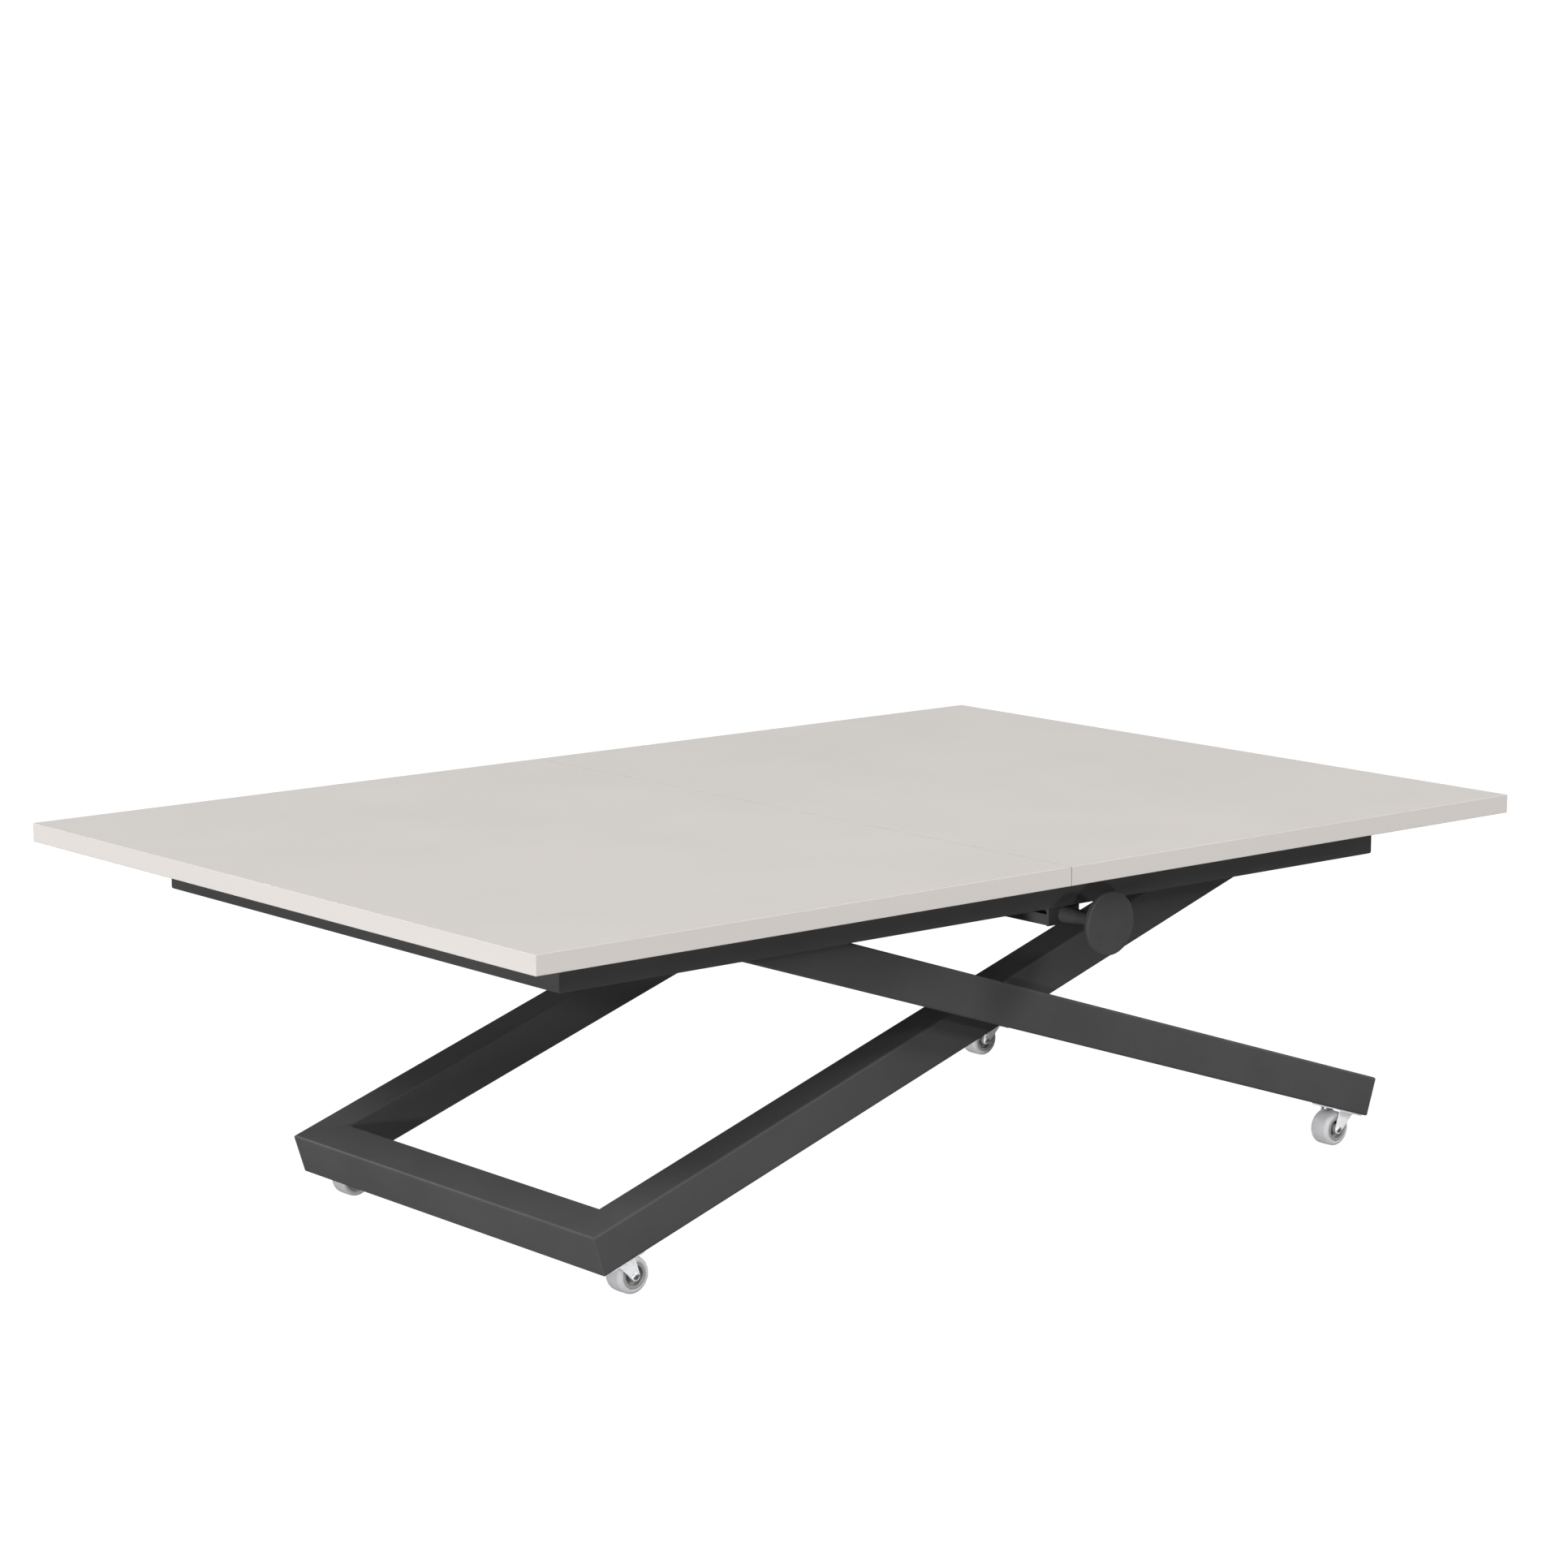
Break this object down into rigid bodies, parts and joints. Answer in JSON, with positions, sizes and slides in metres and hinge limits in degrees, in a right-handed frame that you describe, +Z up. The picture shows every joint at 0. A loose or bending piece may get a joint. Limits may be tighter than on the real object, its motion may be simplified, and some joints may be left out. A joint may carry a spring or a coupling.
{
  "type": "convertible coffee dining table",
  "caption": "Coffee table with a split sliding laminate top on a black scissor leg frame that lifts to dining height on casters, with a release knob under the front rail.",
  "frame": {"origin": "on the floor under the middle of the closed top, at the lowest height", "axes": "+X along the long side to the right as seen from the knob's side, +Y away from the knob, +Z up"},
  "size_m": [1.2, 0.8, 0.3673],
  "materials": {
    "zinc": "zinc plate",
    "powder_coat": "satin anthracite powder coat",
    "black_plastic": "black moulding",
    "nylon": "white nylon",
    "buffer_rubber": "black buffer",
    "laminate": "matte greige laminate",
    "edge_band": "matte edge banding",
    "beech": "plain dowel",
    "wheel_rubber": "light grey tread",
    "hub_plastic": "beige-grey moulding",
    "hard_chrome": "polished rod"
  },
  "bodies": {
    "left_axles": {"axle_pins_left": "zinc"},
    "inner_legs": {"inner_leg_front": "powder_coat", "inner_leg_back": "powder_coat", "inner_lower_bar": "powder_coat", "inner_leg_plugs": "black_plastic", "cross_pivot_bushes": "nylon", "slider_bar": "zinc", "roller_spacers": "zinc", "caster_forks_left": "zinc", "caster_screws_left": "zinc"},
    "outer_legs": {"outer_leg_front": "powder_coat", "outer_leg_back": "powder_coat", "outer_lower_bar": "powder_coat", "outer_leg_plugs": "black_plastic", "spring_bar": "powder_coat", "top_pivot_bushes": "nylon", "cross_pivot_bolts": "zinc", "cross_pivot_nuts": "zinc", "caster_forks_right": "zinc", "caster_screws_right": "zinc", "axle_pins_right": "zinc"},
    "top_frame": {"rail_front": "powder_coat", "rail_back": "powder_coat", "rail_left": "powder_coat", "rail_right": "powder_coat", "track_front": "powder_coat", "track_back": "powder_coat", "track_buffers": "buffer_rubber", "hangers": "powder_coat", "release_channel": "powder_coat", "spring_ears": "powder_coat", "top_pivot_bolts": "zinc", "top_pivot_nuts": "zinc"},
    "left_half": {"top_left": "laminate", "edge_band_left": "edge_band", "seam_dowels": "beech", "glides_left": "nylon"},
    "right_half": {"top_right": "laminate", "edge_band_right": "edge_band", "glides_right": "nylon"},
    "wheel_left_front": {"tyre_left_front": "wheel_rubber", "hub_left_front": "hub_plastic"},
    "wheel_left_back": {"tyre_left_back": "wheel_rubber", "hub_left_back": "hub_plastic"},
    "wheel_right_front": {"tyre_right_front": "wheel_rubber", "hub_right_front": "hub_plastic"},
    "wheel_right_back": {"tyre_right_back": "wheel_rubber", "hub_right_back": "hub_plastic"},
    "front_roller": {"roller_front": "nylon"},
    "back_roller": {"roller_back": "nylon"},
    "spring_rod": {"gas_rod": "hard_chrome", "release_head": "zinc"},
    "spring_cylinder": {"gas_cylinder": "powder_coat", "gas_guide": "zinc", "gas_eye": "zinc"},
    "valve": {"valve_pin": "zinc"},
    "release": {"release_knob": "black_plastic", "release_shaft": "zinc", "release_lever": "zinc"}
  },
  "joints": [
    {"name": "lift", "type": "hinge", "parent": "left_axles", "child": "inner_legs", "pos_m": [-0.36662, 0, 0.0175], "axis": [0, -1, 0], "range_deg": [0, 32]},
    {"name": "cross_pivot", "type": "hinge", "parent": "inner_legs", "child": "outer_legs", "pos_m": [0.068, 0, 0.20337], "axis": [0, -1, 0], "range_deg": [-64, 0]},
    {"name": "top_pivot", "type": "hinge", "parent": "outer_legs", "child": "top_frame", "pos_m": [-0.3023, 0, 0.32583], "axis": [0, -1, 0], "range_deg": [0, 32]},
    {"name": "left_half_slide", "type": "slide", "parent": "top_frame", "child": "left_half", "axis": [-1, 0, 0], "range_m": [0, 0.2024]},
    {"name": "right_half_slide", "type": "slide", "parent": "top_frame", "child": "right_half", "axis": [1, 0, 0], "range_m": [0, 0.2024]},
    {"name": "wheel_left_front_turn", "type": "hinge", "parent": "left_axles", "child": "wheel_left_front", "pos_m": [-0.36662, -0.2168, 0.0175], "axis": [0, 1, 0], "continuous": true},
    {"name": "wheel_left_back_turn", "type": "hinge", "parent": "left_axles", "child": "wheel_left_back", "pos_m": [-0.36662, 0.2168, 0.0175], "axis": [0, 1, 0], "continuous": true},
    {"name": "wheel_right_front_turn", "type": "hinge", "parent": "outer_legs", "child": "wheel_right_front", "pos_m": [0.50262, -0.2616, 0.0175], "axis": [0, 1, 0], "continuous": true},
    {"name": "wheel_right_back_turn", "type": "hinge", "parent": "outer_legs", "child": "wheel_right_back", "pos_m": [0.50262, 0.2616, 0.0175], "axis": [0, 1, 0], "continuous": true},
    {"name": "front_roller_turn", "type": "hinge", "parent": "inner_legs", "child": "front_roller", "pos_m": [0.4383, -0.273, 0.32583], "axis": [0, 1, 0], "continuous": true},
    {"name": "back_roller_turn", "type": "hinge", "parent": "inner_legs", "child": "back_roller", "pos_m": [0.4383, 0.273, 0.32583], "axis": [0, 1, 0], "continuous": true},
    {"name": "spring_tilt", "type": "hinge", "parent": "top_frame", "child": "spring_rod", "pos_m": [0.09, 0, 0.31583], "axis": [0, -1, 0], "range_deg": [0, 9.6]},
    {"name": "spring_stroke", "type": "slide", "parent": "spring_rod", "child": "spring_cylinder", "axis": [-0.9951, 0, -0.0989], "range_m": [0, 0.0434]},
    {"name": "release_turn", "type": "hinge", "parent": "top_frame", "child": "release", "pos_m": [0.09, 0, 0.29703], "axis": [0, -1, 0], "range_deg": [0, 12], "stiffness_Nm_per_rad": 1.5},
    {"name": "valve_press", "type": "slide", "parent": "spring_rod", "child": "valve", "axis": [-0.9951, 0, -0.0989], "range_m": [0, 0.0048]}
  ],
  "couplings": [
    {"joint": "cross_pivot", "follows": "lift", "ratio": -2},
    {"joint": "top_pivot", "follows": "lift", "ratio": 1},
    {"joint": "spring_tilt", "follows": "lift", "ratio": 0.2979},
    {"joint": "spring_stroke", "follows": "lift", "m_per_rad": 0.0776},
    {"joint": "valve_press", "follows": "release_turn", "m_per_rad": 0.0225}
  ]
}
